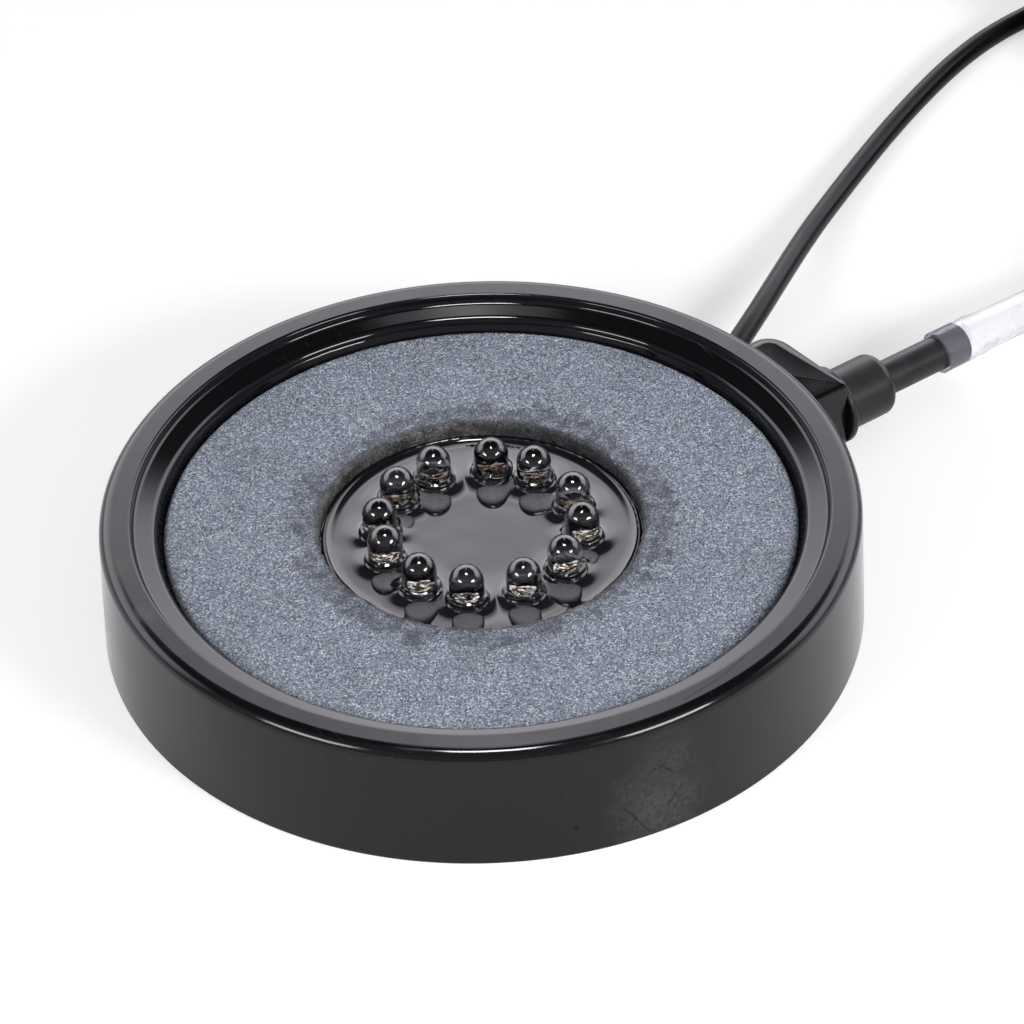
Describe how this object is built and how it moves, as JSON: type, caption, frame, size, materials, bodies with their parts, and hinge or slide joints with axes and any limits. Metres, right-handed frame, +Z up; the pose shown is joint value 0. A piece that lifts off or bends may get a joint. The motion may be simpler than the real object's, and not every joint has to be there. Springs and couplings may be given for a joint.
{
  "type": "air stone disc",
  "caption": "Round air stone disc for a water tank: black moulded ring with a flat grit ring, potted lamps in its centre well, side air inlet with clear hose, and a power lead.",
  "frame": {"origin": "on the disc's axis, at its flat underside", "axes": "+Z up along the disc's axis, +X out along the air inlet pipe, millimetre model stored in metres"},
  "size_m": [0.2673, 0.1518, 0.0194],
  "materials": {
    "housing": "moulded black, glossy",
    "base": "moulded black, glossy",
    "stone_ring": "open bonded grit, speckled blue-grey",
    "outer_glue": "set glue, glossy",
    "inner_glue": "set glue, glossy",
    "potting_resin": "cast black resin, mirror-like",
    "led_board": "board laminate",
    "resistors": "chip resistors",
    "inlet_collar": "moulded black, satin",
    "air_pipe": "moulded black, satin",
    "strain_relief": "soft black",
    "inner_lead": "satin black sheath",
    "inner_wires": "thin insulated wires",
    "plug_body": "moulded black grip",
    "plug_barrel": "nickel plated",
    "plug_insulator": "black insulator",
    "plug_contact": "plated brass",
    "led_lens": "clear water-like epoxy",
    "led_frame": "plated lead frame",
    "airline": "clear soft hose, smooth"
  },
  "bodies": {
    "root": {"housing": "housing", "base": "base", "stone_ring": "stone_ring", "outer_glue": "outer_glue", "inner_glue": "inner_glue", "potting_resin": "potting_resin", "led_board": "led_board", "resistors": "resistors", "led_lens_01": "led_lens", "led_lens_02": "led_lens", "led_lens_03": "led_lens", "led_lens_04": "led_lens", "led_lens_05": "led_lens", "led_lens_06": "led_lens", "led_lens_07": "led_lens", "led_lens_08": "led_lens", "led_lens_09": "led_lens", "led_lens_10": "led_lens", "led_lens_11": "led_lens", "led_lens_12": "led_lens", "led_frame_01": "led_frame", "led_frame_02": "led_frame", "led_frame_03": "led_frame", "led_frame_04": "led_frame", "led_frame_05": "led_frame", "led_frame_06": "led_frame", "led_frame_07": "led_frame", "led_frame_08": "led_frame", "led_frame_09": "led_frame", "led_frame_10": "led_frame", "led_frame_11": "led_frame", "led_frame_12": "led_frame", "inlet_collar": "inlet_collar", "air_pipe": "air_pipe", "strain_relief": "strain_relief", "inner_lead": "inner_lead", "inner_wires": "inner_wires", "plug_body": "plug_body", "plug_barrel": "plug_barrel", "plug_insulator": "plug_insulator", "plug_contact": "plug_contact", "airline": "airline", "airline_coil": "airline", "airline_tail": "airline", "power_lead": "inner_lead", "power_lead_coil": "inner_lead", "power_lead_tail": "inner_lead"}
  },
  "joints": []
}
